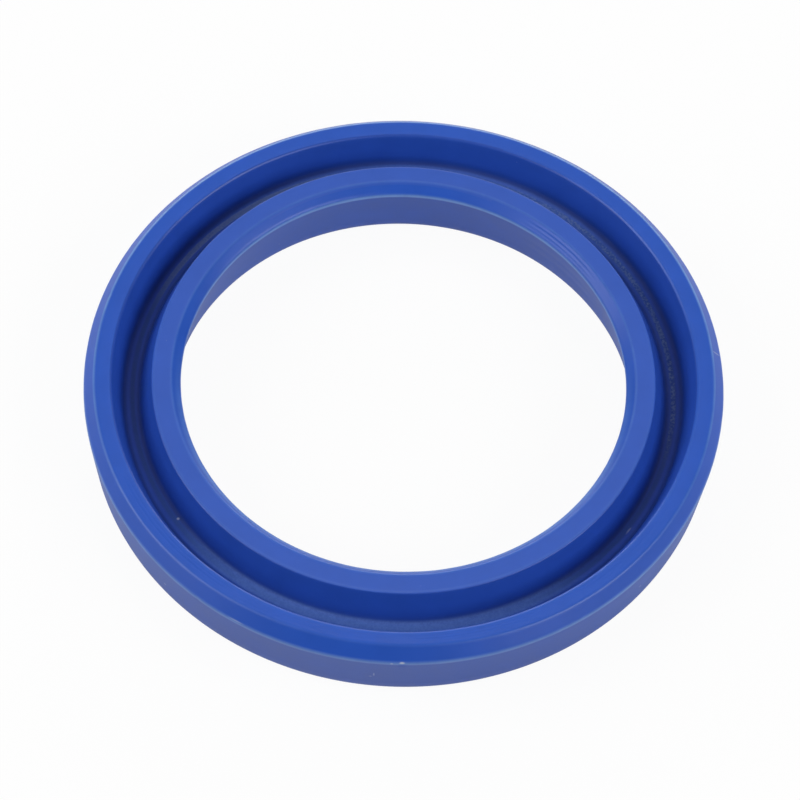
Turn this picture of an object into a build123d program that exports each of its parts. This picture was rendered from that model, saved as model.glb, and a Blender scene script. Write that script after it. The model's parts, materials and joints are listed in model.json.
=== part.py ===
from build123d import *
import math
import os

# U cup seal for a reciprocating rod or piston, in millimetres.
# The ring stands on its heel face at Z = 0 and its two lips open towards +Z.

# Space that the seal fills
rod_diameter = 31.5
section_width = 5.0  # radial, from the rod to the housing wall
seal_height = 6.0

# Heel, the solid foot of the section
heel_gap = 0.02  # radial, to the rod and to the housing alike
heel_edge_radius = 1.25

# Outer lip, which leans out from the heel and presses on the housing
outer_preload = 0.64  # how far the free lip stands out past the housing wall
outer_band = 0.2  # height of the contact band
outer_bevel_width = 0.67
outer_bevel_drop = 0.94
outer_land_width = 1.17

# Inner lip, which leans in from the heel and presses on the rod
inner_preload = 0.92  # how far the free lip reaches in past the rod's surface
inner_band = 0.2
inner_bevel_width = 0.63
inner_bevel_drop = 0.39
inner_land_width = 1.31

# Groove between the lips
groove_depth = 2.33
outer_groove_angle = 21.0  # degrees from the axis
inner_groove_angle = 19.0
groove_corner = 0.25  # length of the break between each wall and the floor


def limited(size, *walls):
    """Keep a corner's radius or break small enough for the straight walls beside it."""
    return min(size, 0.45 * min(walls))


# Radii of the section's corners
rod_r = rod_diameter / 2
housing_r = rod_r + section_width
heel_bore_r = rod_r + heel_gap
heel_outside_r = housing_r - heel_gap
inner_lip_r = rod_r - inner_preload
outer_lip_r = housing_r + outer_preload
inner_bevel_r = inner_lip_r + inner_bevel_width
inner_mouth_r = inner_bevel_r + inner_land_width
outer_bevel_r = outer_lip_r - outer_bevel_width
outer_mouth_r = outer_bevel_r - outer_land_width

# Groove floor, where the two tapered walls reach its depth
groove_floor_z = seal_height - groove_depth
inner_floor_r = inner_mouth_r + groove_depth * math.tan(math.radians(inner_groove_angle))
outer_floor_r = outer_mouth_r - groove_depth * math.tan(math.radians(outer_groove_angle))

# Heights of the contact bands
outer_band_top = seal_height - outer_bevel_drop
outer_band_bottom = outer_band_top - outer_band
inner_band_top = seal_height - inner_bevel_drop
inner_band_bottom = inner_band_top - inner_band

# Corners of the section that are rounded or broken
heel_corners = [Vector(heel_bore_r, 0, 0), Vector(heel_outside_r, 0, 0)]
floor_corners = [Vector(outer_floor_r, 0, groove_floor_z), Vector(inner_floor_r, 0, groove_floor_z)]


def half_section():
    """The seal's section on the XZ plane, from the heel outwards and back over the lips."""
    outline = Polyline(
        *heel_corners,
        (outer_lip_r, 0, outer_band_bottom),
        (outer_lip_r, 0, outer_band_top),
        (outer_bevel_r, 0, seal_height),
        (outer_mouth_r, 0, seal_height),
        *floor_corners,
        (inner_mouth_r, 0, seal_height),
        (inner_bevel_r, 0, seal_height),
        (inner_lip_r, 0, inner_band_top),
        (inner_lip_r, 0, inner_band_bottom),
        close=True,
    )
    section = make_face(outline)
    heel_edge = limited(heel_edge_radius, heel_outside_r - heel_bore_r)
    for corner in heel_corners:
        section = fillet(section.vertices().sort_by_distance(corner)[0], heel_edge)
    floor_break = limited(groove_corner, outer_floor_r - inner_floor_r)
    for corner in floor_corners:
        section = chamfer(section.vertices().sort_by_distance(corner)[0], floor_break)
    return section


seal_ring = revolve(half_section(), Axis.Z)

os.makedirs("parts", exist_ok=True)
export_step(seal_ring, "parts/seal_ring.step")
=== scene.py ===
import json
import math

import bmesh
import bpy
from mathutils import Matrix, Vector, noise


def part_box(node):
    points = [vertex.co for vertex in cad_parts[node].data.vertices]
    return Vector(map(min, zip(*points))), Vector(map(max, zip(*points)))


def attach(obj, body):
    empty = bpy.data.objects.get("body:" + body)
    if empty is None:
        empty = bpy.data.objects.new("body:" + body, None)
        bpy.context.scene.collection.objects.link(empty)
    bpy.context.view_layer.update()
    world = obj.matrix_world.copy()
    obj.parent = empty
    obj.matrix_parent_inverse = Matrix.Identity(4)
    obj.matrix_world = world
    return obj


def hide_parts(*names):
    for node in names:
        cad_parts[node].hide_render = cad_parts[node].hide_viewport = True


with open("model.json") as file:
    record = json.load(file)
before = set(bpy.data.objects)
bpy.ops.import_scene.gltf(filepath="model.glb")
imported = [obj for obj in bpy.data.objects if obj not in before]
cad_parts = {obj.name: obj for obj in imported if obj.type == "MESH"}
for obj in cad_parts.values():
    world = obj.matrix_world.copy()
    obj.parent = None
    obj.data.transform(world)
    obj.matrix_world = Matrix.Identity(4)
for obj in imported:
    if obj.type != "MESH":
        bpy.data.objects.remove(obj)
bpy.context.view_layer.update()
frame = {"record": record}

mm = 0.001
ringLow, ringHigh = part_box("seal_ring")
lipRadius = {m["name"]: m["dims"].get("r_mm", 0) * mm for m in frame["record"]["mounts"]}
print("frame loaded, ring", [round(x / mm, 2) for x in ringHigh - ringLow], "mm")

# The ring's section. Lengths are in mm and angles in degrees, as on the solid that the ring stands for.
seal = {
    "facets": 720,             # once round
    "heelBore": 15.77,         # radius
    "heelBoreRound": 1.42,
    "heelOutside": 20.73,
    "heelRound": 1.25,
    "outerBand": 0.2,          # height of the contact band
    "outerBandRound": 0.35,
    "outerBevelWidth": 0.67,
    "outerBevelDrop": 0.94,
    "outerEdgeRound": 0.22,    # between the bevel and the land
    "outerLand": 1.17,
    "outerLandTilt": 1.2,      # down towards the outside
    "outerCrown": 0.42,        # width of the strip that falls away to the bevel
    "outerCrownTilt": 3.0,
    "outerCrownRound": 6.0,
    "innerBand": 0.25,
    "innerBandRound": 0.28,
    "innerBevelWidth": 0.63,
    "innerBevelDrop": 0.39,
    "innerEdgeRound": 0.35,
    "innerLand": 1.31,
    "outerMouthRound": 0.25,   # between each land and the groove
    "innerMouthRound": 0.1,
    "grooveDepth": 2.33,
    "outerGrooveAngle": 21.0,
    "innerGrooveAngle": 19.0,
    "outerFloorRound": 0.55,
    "innerFloorRound": 0.32,
}


def sectionCorners():
    top = ringHigh.z / mm
    outerLip = lipRadius["housing_lip"] / mm
    innerLip = lipRadius["rod_lip"] / mm
    outerBevel = outerLip - seal["outerBevelWidth"]
    innerBevel = innerLip + seal["innerBevelWidth"]
    outerMouth = outerBevel - seal["outerLand"]
    innerMouth = innerBevel + seal["innerLand"]
    floorZ = top - seal["grooveDepth"]
    outerFloor = outerMouth - seal["grooveDepth"] * math.tan(math.radians(seal["outerGrooveAngle"]))
    innerFloor = innerMouth + seal["grooveDepth"] * math.tan(math.radians(seal["innerGrooveAngle"]))
    outerBandTop = top - seal["outerBevelDrop"]
    innerBandTop = top - seal["innerBevelDrop"]
    crownTop = top - (seal["outerLand"] - seal["outerCrown"]) * math.tan(math.radians(seal["outerLandTilt"]))
    bevelTop = crownTop - seal["outerCrown"] * math.tan(math.radians(seal["outerCrownTilt"]))
    # radius, height, round, facets across the round, facet length from here to the next corner
    return [
        (seal["heelBore"], 0, seal["heelBoreRound"], 6, 0.8),
        (seal["heelOutside"], 0, seal["heelRound"], 6, 0.6),
        (outerLip, outerBandTop - seal["outerBand"], seal["outerBandRound"], 2, 0.1),
        (outerLip, outerBandTop, seal["outerBandRound"], 6, 0.16),
        (outerBevel, bevelTop, seal["outerEdgeRound"], 5, 0.16),
        (outerBevel - seal["outerCrown"], crownTop, seal["outerCrownRound"], 2, 0.2),
        (outerMouth, top, seal["outerMouthRound"], 5, 0.26),
        (outerFloor, floorZ, seal["outerFloorRound"], 8, 0.11),
        (innerFloor, floorZ, seal["innerFloorRound"], 6, 0.26),
        (innerMouth, top, seal["innerMouthRound"], 5, 0.2),
        (innerBevel, top, seal["innerEdgeRound"], 5, 0.12),
        (innerLip, innerBandTop, seal["innerBandRound"], 6, 0.1),
        (innerLip, innerBandTop - seal["innerBand"], seal["innerBandRound"], 2, 0.6),
    ]


def buildRing():
    corners = sectionCorners()
    bm = bmesh.new()
    verts = [bm.verts.new((corner[0] * mm, 0, corner[1] * mm)) for corner in corners]
    bm.faces.new(verts)
    spots = [Vector(corner[:2]) for corner in corners]
    ways = [(spots[(i + 1) % len(spots)] - spot).normalized() for i, spot in enumerate(spots)]
    # a round's tangent length comes from its radius and the turn of the outline there
    for i, (vert, corner) in enumerate(zip(verts, corners)):
        turn = ways[i - 1].angle(ways[i])
        bmesh.ops.bevel(bm, geom=[vert], offset=corner[2] * mm * math.tan(turn / 2), offset_type="OFFSET",
                        segments=corner[3], profile=0.5, affect="VERTICES", material=-1, clamp_overlap=True)

    def apart(middle, i):      # how far a point is from one side of the outline
        before = (middle - spots[i]).dot(ways[i])
        past = (middle - spots[(i + 1) % len(spots)]).dot(ways[i])
        return abs((middle - spots[i]).cross(ways[i])) + max(0, -before, past)

    for edge in bm.edges[:]:
        low, high = edge.verts
        middle = Vector((low.co.x + high.co.x, low.co.z + high.co.z)) / 2 / mm
        side = min(range(len(spots)), key=lambda i: apart(middle, i))
        cuts = int(edge.calc_length() / mm / corners[side][4])
        if cuts:
            bmesh.ops.subdivide_edges(bm, edges=[edge], cuts=cuts)
    rows = len(bm.verts)
    bmesh.ops.delete(bm, geom=bm.faces[:], context="FACES_ONLY")
    # an eighth of the ring is spun, then doubled three times, which is far quicker than one full turn
    bmesh.ops.spin(bm, geom=bm.verts[:] + bm.edges[:], cent=(0, 0, 0), axis=(0, 0, 1), dvec=(0, 0, 0),
                   angle=math.tau / 8, steps=seal["facets"] // 8, use_merge=False, use_normal_flip=False,
                   use_duplicate=False)
    for share in (8, 4, 2):
        copied = bmesh.ops.duplicate(bm, geom=bm.verts[:] + bm.edges[:] + bm.faces[:])["geom"]
        bmesh.ops.rotate(bm, cent=(0, 0, 0), matrix=Matrix.Rotation(math.tau / share, 3, "Z"),
                         verts=[item for item in copied if isinstance(item, bmesh.types.BMVert)])
    bmesh.ops.remove_doubles(bm, verts=bm.verts[:], dist=0.001 * mm)
    bmesh.ops.recalc_face_normals(bm, faces=bm.faces[:])
    bm.normal_update()
    weatherRing(bm)
    print("ring section", rows, "rows, faces", len(bm.faces),
          "volume", round(bm.calc_volume() / mm ** 3), "mm3")
    mesh = bpy.data.meshes.new("sealRing")
    for face in bm.faces:
        face.smooth = True
    bm.to_mesh(mesh)
    bm.free()
    ring = bpy.data.objects.new("sealRing", mesh)
    bpy.context.scene.collection.objects.link(ring)
    return ring


# What the mould, the trimming knife and handling left on the ring. Lengths are in mm, azimuths in degrees.
marks = {
    # how far the free lips are out of round: waves in one turn, depth, azimuth of a crest
    "outerUnround": [(1, 0.08, -34), (2, 0.02, 75), (3, 0.042, 24), (4, 0.015, 44)],
    "innerUnround": [(1, 0.02, 18), (2, 0.027, -59), (3, 0.05, -19), (4, 0.022, 3)],
    "leanPower": 1.5,          # how soon that fades towards the heel
    "leanFrom": 16.8,          # radius where the outer lip's share of it starts
    "leanOver": 2.8,           # and how much further out the share is full
    "innerSlack": 0.015,       # how far the free inner lip stands back from its nominal radius
    "innerBevelShift": 0.14,   # how far back the inner bevel was cut off centre
    "innerBevelSag": 0.05,     # how much deeper it runs at the back
    "sagFrom": 3.5,            # height where that starts
    "sagOver": 1.9,            # and how much higher it is full
    "outerBevelShift": 0.2,    # how far in the outer bevel reaches at the front
    "outerBevelTowards": 262,  # azimuth where it reaches furthest
    "wander": 0.006,           # slow waviness of the lips
    "wanderSize": 3.5,
    "edgeWander": 0.006,       # finer unevenness of the trimmed edges
    "edgeWanderSize": 0.8,
    "lipEdgeReach": 0.25,      # how near to a lip's edge, and to a land's edge, that shows
    "landEdgeReach": 0.15,
    "nicks": [                 # azimuth, radius, height, reach, depth
        (271.7, 21.36, 4.98, 0.3, 0.06), (327.0, 18.2, 3.67, 0.5, -0.06), (301.0, 21.3, 4.9, 0.25, 0.03),
        (164.0, 20.7, 5.9, 0.35, 0.03), (233.0, 21.35, 4.95, 0.3, 0.03),
    ],
    "floorGrain": {            # unevenness of the groove's floor
        "size": 0.42, "depth": 0.012,
        "coarseFrom": 352, "coarseTo": 66, "coarseEase": 12, "coarseDepth": 0.035,
        "inside": 17.5, "outside": 18.75, "low": 3.5, "high": 4.1, "fade": 0.4,
    },
}


def between(azimuth, low, high, ease):
    span = (high - low) % 360
    into = (azimuth - low) % 360
    return max(0.0, min(1.0, into / ease, (span - into) / ease)) if into < span else 0.0


def unround(waves, azimuth):
    return sum(depth * math.cos(count * (azimuth - math.radians(crest))) for count, depth, crest in waves)


def weatherRing(bm):
    floor = marks["floorGrain"]
    outerLip = lipRadius["housing_lip"] / mm
    innerLip = lipRadius["rod_lip"] / mm
    outerBevel = outerLip - seal["outerBevelWidth"]
    innerBevel = innerLip + seal["innerBevelWidth"]
    landEdges = (innerBevel, innerBevel + seal["innerLand"], outerBevel - seal["outerLand"], outerBevel)
    top = ringHigh.z / mm
    home = bm.verts.layers.float_vector.new("home")      # where the finishes find each point
    for vert in bm.verts:
        spot = vert.co / mm
        vert[home] = spot
        radius = math.hypot(spot.x, spot.y)
        height = spot.z
        turn = math.atan2(spot.y, spot.x)
        azimuth = math.degrees(turn) % 360
        lift = 0.0
        # fine marks, laid along the surface's own normal
        if floor["inside"] < radius < floor["outside"] and floor["low"] < height < floor["high"]:
            coarse = between(azimuth, floor["coarseFrom"], floor["coarseTo"], floor["coarseEase"])
            depth = floor["depth"] + (floor["coarseDepth"] - floor["depth"]) * coarse
            depth *= min(1, (floor["high"] - height) / floor["fade"])
            bumps = noise.noise(spot / floor["size"]) + 0.5 * noise.noise(spot / floor["size"] * 2.3)
            lift += depth * bumps
        outerEdge = abs(radius - outerLip) + abs(height - top + seal["outerBevelDrop"]) * 0.5
        innerEdge = abs(radius - innerLip) + abs(height - top + seal["innerBevelDrop"]) * 0.5
        near = marks["landEdgeReach"]
        onLandEdge = height > top - near and min(abs(radius - edge) for edge in landEdges) < near
        # the 40 and the 20 only pick different parts of the noise
        if min(outerEdge, innerEdge) < marks["lipEdgeReach"] or onLandEdge:
            lift += marks["edgeWander"] * noise.noise(Vector((spot.x, spot.y, 40)) / marks["edgeWanderSize"])
        if height > 0.5:
            wave = noise.noise(Vector((spot.x, spot.y, spot.z * 0.6 + 20)) / marks["wanderSize"])
            lift += marks["wander"] * wave * min(1, height / 3)
        for nick, nickRadius, nickHeight, reach, depth in marks["nicks"]:
            nickTurn = math.radians(nick)
            middle = (nickRadius * math.cos(nickTurn), nickRadius * math.sin(nickTurn), nickHeight)
            away = math.dist((spot.x, spot.y, height), middle)
            if away < reach:
                lift -= depth * (0.5 + 0.5 * math.cos(math.pi * away / reach))
        vert.co += vert.normal * lift * mm
        # the bevels are cut a little off centre
        if height > top - seal["innerBevelDrop"] - 0.01 and radius < landEdges[1]:
            hat = min((radius - innerLip) / seal["innerBevelWidth"],
                      (landEdges[1] - radius) / seal["innerLand"])
            vert.co.x += math.cos(turn) * math.sin(turn) * max(0, hat) * marks["innerBevelShift"] * mm
            vert.co.y += math.sin(turn) * math.sin(turn) * max(0, hat) * marks["innerBevelShift"] * mm
        if height > top - seal["outerBevelDrop"] - 0.01 and radius > landEdges[2]:
            hat = min((outerLip - radius) / seal["outerBevelWidth"],
                      (radius - landEdges[2]) / seal["outerLand"])
            facing = max(0, math.cos(turn - math.radians(marks["outerBevelTowards"])))
            shift = max(0, hat) * facing ** 5 * marks["outerBevelShift"]
            vert.co.x -= math.cos(turn) * shift * mm
            vert.co.y -= math.sin(turn) * shift * mm
        if height > marks["sagFrom"] and radius < innerBevel:
            hat = min(1, (innerBevel - radius) / seal["innerBevelWidth"],
                      (height - marks["sagFrom"]) / marks["sagOver"])
            vert.co.z -= hat * max(0, math.sin(turn)) ** 2 * marks["innerBevelSag"] * mm
        # the free lips are not quite round
        lean = (height / top) ** marks["leanPower"]
        share = max(0, min(1, (radius - marks["leanFrom"]) / marks["leanOver"]))
        inside = unround(marks["innerUnround"], turn) + marks["innerSlack"]
        push = lean * (share * unround(marks["outerUnround"], turn) + (1 - share) * inside)
        vert.co.x += math.cos(turn) * push * mm
        vert.co.y += math.sin(turn) * push * mm


ring = buildRing()
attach(ring, "root")
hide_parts("seal_ring")


def addNode(tree, kind, inputs=None, **settings):
    node = tree.nodes.new("ShaderNode" + kind)
    for name, value in settings.items():
        setattr(node, name, value)
    for socket, value in (inputs or {}).items():
        if isinstance(value, bpy.types.NodeSocket):
            tree.links.new(value, node.inputs[socket])
        else:
            node.inputs[socket].default_value = value
    return node


def calc(tree, operation, *values):
    return addNode(tree, "Math", dict(enumerate(values)), operation=operation).outputs[0]


def ramp(tree, value, low, high, atLow=0.0, atHigh=1.0, kind="LINEAR"):
    return addNode(tree, "MapRange", {"Value": value, 1: low, 2: high, 3: atLow, 4: atHigh},
                   interpolation_type=kind).outputs[0]


def vecCalc(tree, operation, a, b):
    node = addNode(tree, "VectorMath", {0: a, 1: b}, operation=operation)
    return node.outputs["Value" if operation in ("DOT_PRODUCT", "DISTANCE") else 0]


def scaled(tree, vector, factor):
    return addNode(tree, "VectorMath", {0: vector, "Scale": factor}, operation="SCALE").outputs[0]


# 1 up to full, then falling softly to 0 at gone
def fade(tree, value, full, gone):
    return ramp(tree, value, full, gone, 1.0, 0.0, "SMOOTHSTEP")


def newGroup(name, inputs, outputs):
    group = bpy.data.node_groups.new(name, "ShaderNodeTree")
    for sockets, way in ((inputs, "INPUT"), (outputs, "OUTPUT")):
        for socket, kind in sockets.items():
            group.interface.new_socket(socket, in_out=way, socket_type="NodeSocket" + kind)
    return group, group.nodes.new("NodeGroupInput").outputs, group.nodes.new("NodeGroupOutput").inputs


# Where a point lies on the ring: radius and height in mm before the lips went out of round, and its direction
def makeRingPlace():
    group, _, result = newGroup("ringPlace", {}, {"Radius": "Float", "Height": "Float", "Around": "Vector",
                                                  "Spot": "Vector"})
    spot = addNode(group, "Attribute", attribute_name="home").outputs["Vector"]
    flat = vecCalc(group, "MULTIPLY", spot, (1, 1, 0))
    radius = addNode(group, "VectorMath", {0: flat}, operation="LENGTH").outputs["Value"]
    height = addNode(group, "SeparateXYZ", {0: spot}).outputs["Z"]
    around = addNode(group, "VectorMath", {0: flat}, operation="NORMALIZE").outputs[0]
    group.links.new(radius, result["Radius"])
    group.links.new(height, result["Height"])
    group.links.new(around, result["Around"])
    group.links.new(spot, result["Spot"])
    return group


# Fine lines that run round the ring, from the cutting tool on the lands and from the mould on the walls
def makeTurnedLines():
    group, given, result = newGroup("turnedLines", {
        "Radius": "Float", "Height": "Float", "Around": "Vector", "Spacing": "Float", "Breaks": "Float",
    }, {"Lines": "Float"})
    across = calc(group, "SUBTRACT", given["Radius"], given["Height"])
    across = calc(group, "DIVIDE", across, given["Spacing"])
    lifted = addNode(group, "CombineXYZ", {"Z": across}).outputs[0]
    along = scaled(group, given["Around"], given["Breaks"])
    place = vecCalc(group, "ADD", along, lifted)
    lines = addNode(group, "TexNoise", {"Vector": place, "Scale": 1.0, "Detail": 2.0, "Roughness": 0.6})
    group.links.new(lines.outputs["Fac"], result["Lines"])
    return group


# How far a point lies within an arc of the ring, from 0 outside it to 1 well inside
def makeArc():
    group, given, result = newGroup("arc", {
        "Around": "Vector", "Middle": "Vector", "Edge": "Float", "Full": "Float",
    }, {"Inside": "Float"})
    along = vecCalc(group, "DOT_PRODUCT", given["Around"], given["Middle"])
    inside = ramp(group, along, given["Edge"], given["Full"], 0.0, 1.0, "SMOOTHSTEP")
    group.links.new(inside, result["Inside"])
    return group


# A few tool ridges side by side, centred on one radius
def makeRidges():
    group, given, result = newGroup("ridges", {"Radius": "Float", "Middle": "Float", "Spacing": "Float",
                                               "Spread": "Float"}, {"Ridges": "Float"})
    off = calc(group, "SUBTRACT", given["Radius"], given["Middle"])
    turns = calc(group, "DIVIDE", off, given["Spacing"])
    angle = calc(group, "MULTIPLY", turns, math.tau)
    wave = calc(group, "COSINE", angle)
    away = calc(group, "ABSOLUTE", off)
    near = fade(group, away, 0.0, given["Spread"])
    both = calc(group, "MULTIPLY", wave, near)
    group.links.new(both, result["Ridges"])
    return group


# Noise of a given size in mm, used fine as grain and coarse as cloudiness
def makeGrain():
    group, given, result = newGroup("grain", {"Spot": "Vector", "Size": "Float", "Detail": "Float"},
                                    {"Grain": "Float"})
    often = calc(group, "DIVIDE", 1.0, given["Size"])
    noisy = addNode(group, "TexNoise", {"Vector": given["Spot"], "Scale": often, "Detail": given["Detail"],
                                        "Roughness": 0.6})
    group.links.new(noisy.outputs["Fac"], result["Grain"])
    return group


# A painted highlight along one edge of the section, partly the pale trimmed edge, a little uneven round the
# ring
def makePaintedEdgeHighlight():
    group, given, result = newGroup("paintedEdgeHighlight", {
        "Radius": "Float", "Height": "Float", "Around": "Vector", "Edge Radius": "Float",
        "Edge Height": "Float", "Width": "Float", "Unevenness": "Float",
    }, {"Line": "Float"})
    outwards = calc(group, "SUBTRACT", given["Radius"], given["Edge Radius"])
    upwards = calc(group, "SUBTRACT", given["Height"], given["Edge Height"])
    offset = addNode(group, "CombineXYZ", {"X": outwards, "Y": upwards}).outputs[0]
    away = addNode(group, "VectorMath", {0: offset}, operation="LENGTH").outputs["Value"]
    uneven = addNode(group, "TexNoise", {"Vector": given["Around"], "Scale": 9.0, "Detail": 5.0,
                                         "Roughness": 0.7})
    swing = ramp(group, uneven.outputs["Fac"], 0.3, 0.7, -1.0, 1.0)
    factor = calc(group, "MULTIPLY_ADD", swing, given["Unevenness"], 1.0)
    near = fade(group, away, 0.0, given["Width"])
    line = calc(group, "MULTIPLY", near, factor)
    group.links.new(line, result["Line"])
    return group


# Sparse specks of dust and crumb, each a small round spot
def makeSpecks():
    group, given, result = newGroup("specks", {
        "Spot": "Vector", "Apart": "Float", "Size": "Float", "Share": "Float",
    }, {"Specks": "Float"})
    often = calc(group, "DIVIDE", 1.0, given["Apart"])
    cells = addNode(group, "TexVoronoi", {"Vector": given["Spot"], "Scale": often, "Randomness": 1.0})
    reach = calc(group, "MULTIPLY", cells.outputs["Distance"], given["Apart"])
    chance = addNode(group, "SeparateColor", {0: cells.outputs["Color"]})
    size = calc(group, "MULTIPLY", chance.outputs["Green"], given["Size"])
    spot = fade(group, reach, 0.0, size)
    kept = calc(group, "LESS_THAN", chance.outputs["Red"], given["Share"])
    both = calc(group, "MULTIPLY", spot, kept)
    group.links.new(both, result["Specks"])
    return group


# A pale scuff, longer one way than the other
def makeScuff():
    group, given, result = newGroup("scuff", {"Spot": "Vector", "Middle": "Vector", "Along": "Vector",
                                              "Length": "Float", "Width": "Float"}, {"Scuff": "Float"})
    off = vecCalc(group, "SUBTRACT", given["Spot"], given["Middle"])
    along = vecCalc(group, "DOT_PRODUCT", off, given["Along"])
    straight = scaled(group, given["Along"], along)
    across = vecCalc(group, "DISTANCE", off, straight)
    far = calc(group, "DIVIDE", along, given["Length"])
    wide = calc(group, "DIVIDE", across, given["Width"])
    both = addNode(group, "CombineXYZ", {"X": far, "Y": wide}).outputs[0]
    away = addNode(group, "VectorMath", {0: both}, operation="LENGTH").outputs["Value"]
    faded = fade(group, away, 0.1, 0.5)
    group.links.new(faded, result["Scuff"])
    return group


# Finishes by surface, lengths in mm. Lines are fine ridges round the ring, grain is the elastomer's skin.
finishes = {
    "trimmedBlue": {           # lands and bevels, cut by a knife
        "colour": (0.0135, 0.089, 0.515, 1), "cloud": 0.05, "roughness": 0.38,
        "lineSpacing": 0.055, "lineDepth": 0.0022, "lineBreaks": 16.0,
        "grainSize": 0.07, "grainDepth": 0.0015, "speckShare": 0.05, "speckSize": 0.03,
    },
    "mouldedBlue": {           # walls and heel
        "colour": (0.009, 0.077, 0.42, 1), "cloud": 0.07, "roughness": 0.42,
        "lineSpacing": 0.12, "lineDepth": 0.0008, "lineBreaks": 10.0,
        "grainSize": 0.09, "grainDepth": 0.002, "speckShare": 0.1, "speckSize": 0.045,
    },
    "innerTrimmedBlue": {      # the inner lip's land, a little paler
        "colour": (0.027, 0.099, 0.51, 1), "cloud": 0.05, "roughness": 0.38,
        "lineSpacing": 0.055, "lineDepth": 0.0022, "lineBreaks": 16.0,
        "grainSize": 0.07, "grainDepth": 0.0015, "speckShare": 0.05, "speckSize": 0.03,
    },
    "grooveBlue": {            # walls and bottom of the groove
        "colour": (0.017, 0.073, 0.43, 1), "cloud": 0.06, "roughness": 0.40,
        "lineSpacing": 0.08, "lineDepth": 0.0012, "lineBreaks": 12.0,
        "grainSize": 0.08, "grainDepth": 0.002, "speckShare": 0.08, "speckSize": 0.04,
        # the rough strip along the bottom, with painted shade in the corners on both sides of it
        "strip": {
            "radius": 18.1, "offCentre": 0.13, "halfWidth": 0.24, "core": 0.3, "low": 3.85, "high": 4.1,
            "colour": (0.013, 0.067, 0.31, 1), "roughness": 0.65,
            "patches": (0.38, 0.62, 0.7),     # noise from and to, and the colour's least share
            "grainSize": 0.15, "grainDepth": 0.016,
            "smoothShare": 0.4,      # how much of that depth is left off the coarse arc
            "coarseMiddle": 29, "coarseHalf": 37, "coarseEase": 10,
            "crumbs": (0.12, 0.2, 0.45, 1), "crumbRange": (0.42, 0.64),
            "paintedLightPools": [      # painted light, paler where the floor is lit, and a painted highlight streak: azimuth and half width in degrees, half width in mm, strength, colour
                (266, 42, 0.5, 0.8, (0.08, 0.18, 0.56, 1)),
                (85, 47, 0.42, 0.38, (0.08, 0.18, 0.56, 1)),
                (131, 20, 0.24, 0.55, (0.18, 0.26, 0.46, 1)),
            ],
            "paintedLightCore": 0.55, "paintedLightEase": 12,
            "corners": [(17.66, 0.28, 0.62), (18.66, 0.3, 0.58)],      # painted shade in the corners: radius, reach, shade
        },
    },
}
skin = {                     # shared by all the finishes
    "cloudSize": 2.4, "specksApart": 0.55, "roughnessSpread": 0.1,
    "backToFront": (-0.6, 0.6),     # cosine from the front over which a painted edge highlight's strength changes
}
paintedEdgeHighlightBlue = (0.15, 0.31, 0.68, 1)      # painted highlight along the edges where the elastomer is thin, partly pale where it is scuffed
dustGrey = (0.45, 0.5, 0.62, 1)
paintedEdgeHighlights = [                # painted highlights along the edges: radius, height, width, strength at the back and at the front, unevenness
    (21.37, 4.93, 0.30, 0.75, 0.7, 0.2),
    (14.84, 5.41, 0.26, 1.0, 0.4, 0.2),
    (14.95, 5.72, 0.50, -0.3, 0.54, 0.2),
    (20.73, 5.92, 0.17, 1.0, 0.08, 0.3),
    (19.70, 5.98, 0.12, 0.0, 0.06, 0.3),
    (16.63, 5.98, 0.12, 0.0, 0.08, 0.3),
    (15.48, 5.97, 0.15, 0.18, 0.2, 0.3),
]
scuffs = [                   # azimuth, radius, height, length round the ring, width, strength
    (271.7, 21.36, 4.98, 0.5, 0.3, 1.0),
    (269.9, 21.37, 4.93, 0.3, 0.2, 0.6),
    (266.8, 21.12, 2.87, 0.16, 0.7, 0.4),
    (266.2, 21.05, 2.50, 0.3, 0.25, 0.25),
    (8.4, 21.05, 5.50, 0.14, 1.3, 0.55),
    (319.8, 21.12, 2.85, 0.25, 0.25, 0.6),
    (223.9, 21.06, 2.40, 0.25, 0.25, 0.6),
    (215.4, 17.81, 3.70, 0.28, 0.28, 0.9),
    (241.2, 21.33, 5.06, 1.6, 0.16, 0.5),
    (327.0, 18.2, 3.7, 0.9, 0.2, 0.4),
]
paintedBevelShade = {               # painted shade: the outer bevel is painted a little darker at the front
    "strength": 0.22, "radius": (20.66, 20.78), "front": (0.3, 0.9), "colour": (0.0, 0.02, 0.2, 1),
}
toolRidges = [               # azimuth and half width in degrees, radius, spacing, spread, depth
    (46, 9, 15.18, 0.22, 0.42, 0.008),
    (222, 15, 20.1, 0.27, 0.55, 0.007),
    (317, 13, 19.95, 0.3, 0.6, 0.004),
    (253, 14, 20.25, 0.34, 0.7, 0.005),
    (285, 12, 20.1, 0.25, 0.6, 0.004),
    (190, 14, 15.25, 0.2, 0.3, 0.002),
]
ringPlace, turnedLines, arc, ridges, grain, paintedEdgeHighlight, specks, scuff = (
    makeRingPlace(), makeTurnedLines(), makeArc(), makeRidges(), makeGrain(), makePaintedEdgeHighlight(), makeSpecks(),
    makeScuff())
print("node groups", [group.name for group in bpy.data.node_groups])


def useGroup(tree, group, inputs=None):
    return addNode(tree, "Group", inputs, node_tree=group).outputs


def arcMask(tree, around, middle, half, ease=6.0):
    turn = math.radians(middle)
    return useGroup(tree, arc, {"Around": around, "Middle": (math.cos(turn), math.sin(turn), 0),
                                "Edge": math.cos(math.radians(half + ease)),
                                "Full": math.cos(math.radians(half - ease))})["Inside"]


def mixColour(tree, share, under, over):
    return addNode(tree, "Mix", {0: share, 6: under, 7: over}, data_type="RGBA").outputs[2]


def mixValue(tree, share, under, over):
    return ramp(tree, share, 0.0, 1.0, under, over)


def times(tree, a, b):
    return calc(tree, "MULTIPLY", a, b)


def plus(tree, a, b):
    return calc(tree, "ADD", a, b)


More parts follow.
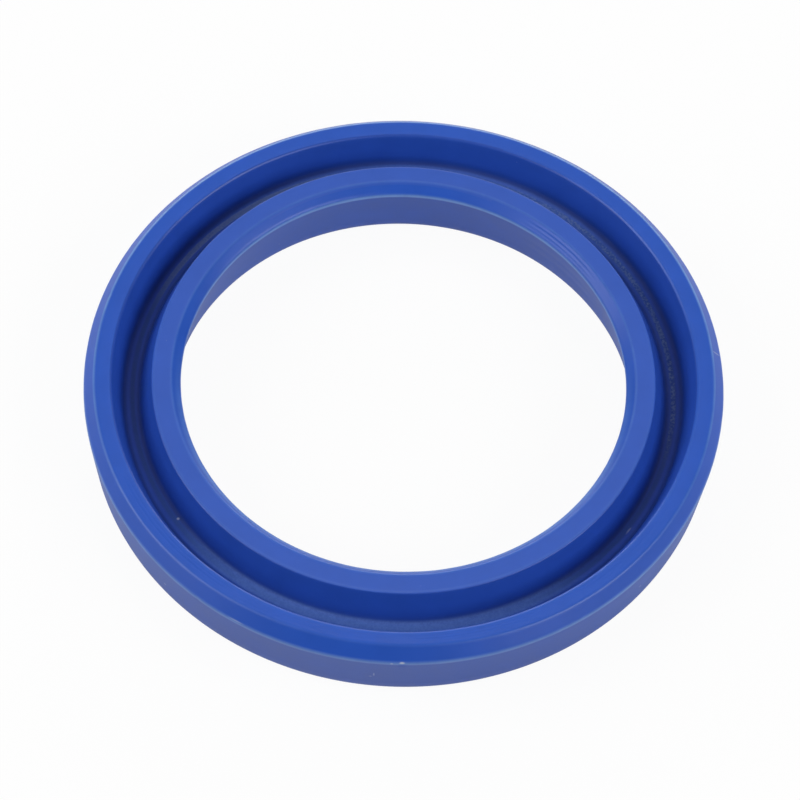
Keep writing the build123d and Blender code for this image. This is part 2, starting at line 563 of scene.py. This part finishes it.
# Painted highlights along the edges of the section, partly pale scuffed edges, each with its own strength at
# the back and at the front
def maskPaintedEdgeHighlights(tree, here, front):
    mask = 0.0
    for radius, height, width, atBack, atFront, unevenness in paintedEdgeHighlights:
        line = useGroup(tree, paintedEdgeHighlight, {**here, "Edge Radius": radius, "Edge Height": height, "Width": width,
                                         "Unevenness": unevenness})["Line"]
        strength = ramp(tree, front, *skin["backToFront"], atBack, atFront)
        mask = calc(tree, "MAXIMUM", mask, times(tree, line, strength))
    return mask


def addScuffs(tree, place, dots):
    for azimuth, radius, height, length, width, strength in scuffs:
        turn = math.radians(azimuth)
        middle = (radius * math.cos(turn), radius * math.sin(turn), height)
        spot = useGroup(tree, scuff, {"Spot": place["Spot"], "Middle": middle, "Length": length,
                                      "Width": width, "Along": (-math.sin(turn), math.cos(turn), 0)})["Scuff"]
        dots = calc(tree, "MAXIMUM", dots, times(tree, spot, strength))
    return dots


# The rough strip along the groove's floor, with painted pools of light, pale crumbs, and painted shade in the
# corners beside it
def layStrip(tree, strip, place, front, colour, rough, relief):
    centre = calc(tree, "MULTIPLY_ADD", front, -strip["offCentre"], strip["radius"])
    away = calc(tree, "ABSOLUTE", calc(tree, "SUBTRACT", place["Radius"], centre))
    low = ramp(tree, place["Height"], strip["low"], strip["high"], 1.0, 0.0)
    near = times(tree, fade(tree, away, strip["core"] * strip["halfWidth"], strip["halfWidth"]), low)
    crumbs = useGroup(tree, grain, {"Spot": place["Spot"], "Size": strip["grainSize"],
                                    "Detail": 4.0})["Grain"]
    coarse = arcMask(tree, place["Around"], strip["coarseMiddle"], strip["coarseHalf"], strip["coarseEase"])
    # painted shade, darker in the groove's corners
    for corner, reach, paintedShadeShare in strip["corners"]:
        off = calc(tree, "ABSOLUTE", calc(tree, "SUBTRACT", place["Radius"], corner))
        paintedCornerShade = ramp(tree, off, 0.0, reach, paintedShadeShare, 1.0, "SMOOTHSTEP")
        colour = scaled(tree, colour, paintedCornerShade)
    patches = ramp(tree, crumbs, *strip["patches"], 1.0)
    bits = ramp(tree, crumbs, *strip["crumbRange"])
    colour = mixColour(tree, times(tree, near, patches), colour, strip["colour"])
    # painted light: a paler floor at the front and the back, and a painted highlight streak at the back left
    for middle, half, reach, strength, paintedPoolColour in strip["paintedLightPools"]:
        wide = times(tree, fade(tree, away, strip["paintedLightCore"] * reach, reach), strength)
        paintedPool = times(tree, arcMask(tree, place["Around"], middle, half, strip["paintedLightEase"]), wide)
        colour = mixColour(tree, times(tree, times(tree, low, patches), paintedPool), colour, paintedPoolColour)
    colour = mixColour(tree, times(tree, times(tree, near, coarse), bits), colour, strip["crumbs"])
    rough = mixValue(tree, low, rough, strip["roughness"])
    deep = mixValue(tree, coarse, strip["grainDepth"] * strip["smoothShare"], strip["grainDepth"])
    return colour, rough, plus(tree, relief, times(tree, times(tree, crumbs, deep), near))


# Painted shade, darker on the outer bevel towards the front
def paintShadeOnBevel(tree, place, front, colour):
    outside = ramp(tree, place["Radius"], *paintedBevelShade["radius"], 0.0, paintedBevelShade["strength"])
    onFront = ramp(tree, front, *paintedBevelShade["front"])
    return mixColour(tree, times(tree, outside, onFront), colour, paintedBevelShade["colour"])


def addRidges(tree, place, relief):
    for middle, half, radius, spacing, spread, depth in toolRidges:
        ripple = useGroup(tree, ridges, {"Radius": place["Radius"], "Middle": radius, "Spacing": spacing,
                                         "Spread": spread})["Ridges"]
        ripple = times(tree, ripple, arcMask(tree, place["Around"], middle, half))
        relief = plus(tree, relief, times(tree, ripple, depth))
    return relief


def makeFinish(name):
    finish = finishes[name]
    material = bpy.data.materials.new(name)
    material.use_nodes = True
    tree = material.node_tree
    shader = tree.nodes["Principled BSDF"]
    place = useGroup(tree, ringPlace)
    here = {"Radius": place["Radius"], "Height": place["Height"], "Around": place["Around"]}
    front = vecCalc(tree, "DOT_PRODUCT", place["Around"], (0, -1, 0))
    lines = useGroup(tree, turnedLines, {**here, "Spacing": finish["lineSpacing"],
                                         "Breaks": finish["lineBreaks"]})["Lines"]
    fine = useGroup(tree, grain, {"Spot": place["Spot"], "Size": finish["grainSize"], "Detail": 3.0})["Grain"]
    cloud = useGroup(tree, grain, {"Spot": place["Spot"], "Size": skin["cloudSize"], "Detail": 4.0})["Grain"]
    dots = useGroup(tree, specks, {"Spot": place["Spot"], "Apart": skin["specksApart"],
                                   "Size": finish["speckSize"], "Share": finish["speckShare"]})["Specks"]
    # colour: cloudy body, painted highlights on the edges, dust
    tone = mixValue(tree, cloud, 1 - 2 * finish["cloud"], 1 + 2 * finish["cloud"])
    colour = scaled(tree, finish["colour"][:3], tone)
    colour = mixColour(tree, maskPaintedEdgeHighlights(tree, here, front), colour, paintedEdgeHighlightBlue)
    dots = addScuffs(tree, place, dots)
    # roughness follows the cloudiness and the grain
    smoothest = finish["roughness"] - skin["roughnessSpread"]
    rough = mixValue(tree, plus(tree, cloud, fine), smoothest, finish["roughness"])
    # relief in mm: turned lines, grain and the tool's ridges
    relief = times(tree, lines, finish["lineDepth"])
    relief = plus(tree, relief, times(tree, fine, finish["grainDepth"]))
    if "strip" in finish:
        colour, rough, relief = layStrip(tree, finish["strip"], place, front, colour, rough, relief)
    else:
        colour = paintShadeOnBevel(tree, place, front, colour)
        relief = addRidges(tree, place, relief)
    tree.links.new(mixColour(tree, dots, colour, dustGrey), shader.inputs["Base Color"])
    tree.links.new(rough, shader.inputs["Roughness"])
    bump = addNode(tree, "Bump", {"Height": relief, "Strength": 1.0, "Distance": mm})
    tree.links.new(bump.outputs["Normal"], shader.inputs["Normal"])
    return material


borders = {                  # where one finish meets the next, radii and heights in mm
    "grooveInside": 16.75, "grooveOutside": 19.6, "grooveLow": 3.5, "grooveHigh": 5.985,
    "outerBevelInside": 20.7, "outerBevelLow": 5.05, "innerBevelOutside": 15.5, "innerBevelLow": 5.5,
    "landLow": 5.85, "innerLandInside": 15.45, "innerLandOutside": 18.0,
}


def finishFor(radius, height):
    inGroove = borders["grooveInside"] < radius < borders["grooveOutside"]
    if inGroove and borders["grooveLow"] < height < borders["grooveHigh"]:
        return "grooveBlue"
    onOuterBevel = radius > borders["outerBevelInside"] and height > borders["outerBevelLow"]
    onInnerBevel = radius < borders["innerBevelOutside"] and height > borders["innerBevelLow"]
    if height > borders["landLow"] or onOuterBevel or onInnerBevel:
        onInnerLand = borders["innerLandInside"] < radius < borders["innerLandOutside"]
        return "innerTrimmedBlue" if onInnerLand else "trimmedBlue"
    return "mouldedBlue"


def dressRing():
    names = list(finishes)
    for name in names:
        ring.data.materials.append(makeFinish(name))
    for face in ring.data.polygons:
        finish = finishFor(math.hypot(face.center.x, face.center.y) / mm, face.center.z / mm)
        face.material_index = names.index(finish)
    print("finishes", [slot.name for slot in ring.data.materials])


dressRing()

table = {
    "size": 3.0,
    "gap": 0.00001,            # metres below the ring, so that the two never share a plane
    "colour": (0.93, 0.93, 0.93, 1),
    "backlight": 0.94,         # how far the white sweep outshines its own shading, to the camera
    "glossBacklight": 0.25,    # and in the ring's gloss
}


def makeTable():
    bm = bmesh.new()
    bmesh.ops.create_grid(bm, x_segments=1, y_segments=1, size=table["size"] / 2,
                          matrix=Matrix.Translation((0, 0, -table["gap"])))
    mesh = bpy.data.meshes.new("table")
    bm.to_mesh(mesh)
    bm.free()
    top = bpy.data.objects.new("table", mesh)
    bpy.context.scene.collection.objects.link(top)
    material = bpy.data.materials.new("whiteTable")
    material.use_nodes = True
    tree = material.node_tree
    shader = tree.nodes["Principled BSDF"]
    shader.inputs["Base Color"].default_value = table["colour"]
    shader.inputs["Roughness"].default_value = 1.0
    shader.inputs["Specular IOR Level"].default_value = 0.0
    white = addNode(tree, "Emission", {"Color": (1, 1, 1, 1), "Strength": 1.0})
    rays = addNode(tree, "LightPath").outputs
    gloss = calc(tree, "MAXIMUM", rays["Is Glossy Ray"], rays["Is Transmission Ray"])
    straight = times(tree, rays["Is Camera Ray"], table["backlight"])
    share = calc(tree, "MULTIPLY_ADD", gloss, table["glossBacklight"], straight)
    blend = addNode(tree, "MixShader", {0: share, 1: shader.outputs[0], 2: white.outputs[0]})
    under = addNode(tree, "NewGeometry").outputs["Backfacing"]
    clear = addNode(tree, "BsdfTransparent")
    blend = addNode(tree, "MixShader", {0: under, 1: blend.outputs[0], 2: clear.outputs[0]})
    tree.links.new(blend.outputs[0], tree.nodes["Material Output"].inputs["Surface"])
    mesh.materials.append(material)


makeTable()

photoView = {
    "elevation": 57.86,        # degrees above the table
    "roll": 2.194,             # degrees, the camera's top leaning left
    "distance": 440.7,         # mm from the point aimed at
    "lens": 298.3,
    "aim": (-0.154, -1.848),   # mm from the ring's axis, on the plane of its lips
}


def makeCamera():
    elevation = math.radians(photoView["elevation"])
    roll = math.radians(photoView["roll"])
    aim = Vector((photoView["aim"][0] * mm, photoView["aim"][1] * mm, ringHigh.z))
    back = Vector((0, -math.cos(elevation), math.sin(elevation)))
    up = Vector((0, math.sin(elevation), math.cos(elevation)))
    right = Vector((1, 0, 0))
    data = bpy.data.cameras.new("camera")
    data.lens = photoView["lens"]
    data.sensor_width = 36
    data.clip_start = 0.01
    data.clip_end = 20
    camera = bpy.data.objects.new("camera", data)
    bpy.context.scene.collection.objects.link(camera)
    turned = right * math.cos(roll) + up * math.sin(roll)
    upright = up * math.cos(roll) - right * math.sin(roll)
    basis = Matrix((turned, upright, back)).transposed()
    camera.matrix_world = Matrix.Translation(aim + back * photoView["distance"] * mm) @ basis.to_4x4()
    bpy.context.scene.camera = camera


makeCamera()

# Softboxes round the ring: azimuth and elevation in degrees, sizes in metres, all a metre away
softboxes = [
    {"name": "right", "azimuth": -31, "elevation": 35, "wide": 0.86, "high": 0.52, "radiance": 4.2},
    {"name": "left", "azimuth": 190, "elevation": 37, "wide": 0.82, "high": 0.74, "radiance": 3.1},
    {"name": "back", "azimuth": 90, "elevation": 15, "wide": 1.2, "high": 0.42, "radiance": 3.8},
    {"name": "overhead", "azimuth": 90, "elevation": 70, "wide": 0.21, "high": 0.23, "radiance": 3.9},
]
ambient = 0.13


def makeLights():
    for box in softboxes:
        azimuth = math.radians(box["azimuth"])
        elevation = math.radians(box["elevation"])
        towards = Vector((math.cos(azimuth) * math.cos(elevation), math.sin(azimuth) * math.cos(elevation),
                          math.sin(elevation)))
        data = bpy.data.lights.new(box["name"], "AREA")
        data.shape = "RECTANGLE"
        data.size = box["wide"]
        data.size_y = box["high"]
        data.energy = box["radiance"] * math.pi * box["wide"] * box["high"]
        lamp = bpy.data.objects.new(box["name"], data)
        lamp.location = towards
        lamp.rotation_euler = towards.to_track_quat("Z", "Y").to_euler()
        lamp.visible_camera = False
        bpy.context.scene.collection.objects.link(lamp)
    world = bpy.data.worlds.new("world")
    world.use_nodes = True
    background = world.node_tree.nodes["Background"]
    background.inputs["Color"].default_value = (1, 1, 1, 1)
    seen = addNode(world.node_tree, "LightPath").outputs["Is Camera Ray"]
    strength = mixValue(world.node_tree, seen, ambient, 1.0)
    world.node_tree.links.new(strength, background.inputs["Strength"])
    bpy.context.scene.world = world
    print("softboxes", [box["name"] for box in softboxes])


makeLights()
bpy.context.scene.view_settings.view_transform = "Standard"
